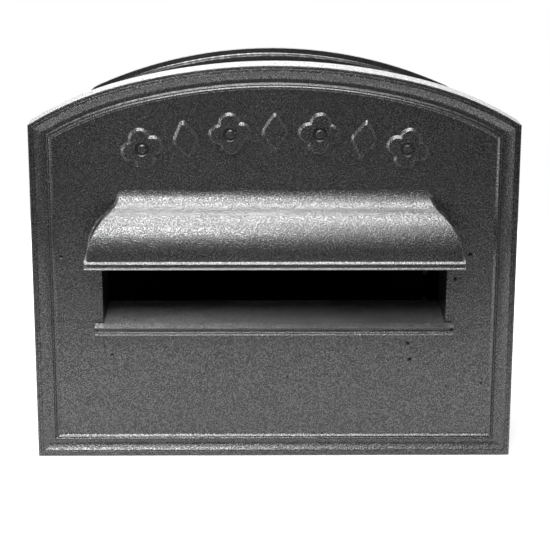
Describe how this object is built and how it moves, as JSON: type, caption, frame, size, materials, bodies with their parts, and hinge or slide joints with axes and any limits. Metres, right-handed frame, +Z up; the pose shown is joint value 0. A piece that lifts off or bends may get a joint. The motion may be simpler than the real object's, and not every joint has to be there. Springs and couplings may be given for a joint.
{
  "type": "wall mounted post box",
  "caption": "Through-wall post box: arched cast front with ogee hood over a wide letter slot, sheet sleeve, rear frame and a hinged, lockable rear door.",
  "frame": {"origin": "on the centre plane, where the wall's face meets the level of the base: the lower middle of the front casting's rear face", "axes": "+X to the right seen from the front, +Y into the wall towards the rear door, +Z up"},
  "size_m": [0.38, 0.2694, 0.316],
  "materials": {
    "cast_paint": "satin black paint over a rough sand casting",
    "frame_paint": "glossy black paint over a cast frame",
    "sheet_paint": "smooth glossy black paint on folded sheet",
    "rivet_paint": "black paint over rivet heads",
    "zinc_steel": "bright zinc plate",
    "hinge_steel": "black paint, worn at the knuckles",
    "seal_rubber": "matt rubber strip",
    "lock_chrome": "polished chrome"
  },
  "bodies": {
    "box": {"front_casting": "cast_paint", "sleeve": "sheet_paint", "casting_screws": "zinc_steel", "casting_washers": "zinc_steel", "rear_frame": "frame_paint", "frame_rivets": "rivet_paint", "seam_rivets": "rivet_paint", "hinge_frame_leaf_lower": "hinge_steel", "hinge_frame_leaf_upper": "hinge_steel", "hinge_frame_screws": "zinc_steel", "hinge_pin_lower": "zinc_steel", "hinge_pin_upper": "zinc_steel", "door_seal": "seal_rubber"},
    "door": {"rear_door": "sheet_paint", "hinge_door_leaf_lower": "hinge_steel", "hinge_door_leaf_upper": "hinge_steel", "hinge_door_rivets": "zinc_steel", "lock_barrel": "lock_chrome", "lock_nut": "zinc_steel"},
    "lock_rotor": {"lock_plug": "lock_chrome", "lock_cam": "zinc_steel", "cam_screw": "zinc_steel"}
  },
  "joints": [
    {"name": "door_hinge", "type": "hinge", "parent": "box", "child": "door", "pos_m": [0.15475, 0.2133, 0.143], "axis": [0, 0, -1], "range_deg": [0, 165]},
    {"name": "lock_turn", "type": "hinge", "parent": "door", "child": "lock_rotor", "pos_m": [-0.126, 0.2125, 0.15], "axis": [0, 1, 0], "range_deg": [0, 90]}
  ]
}
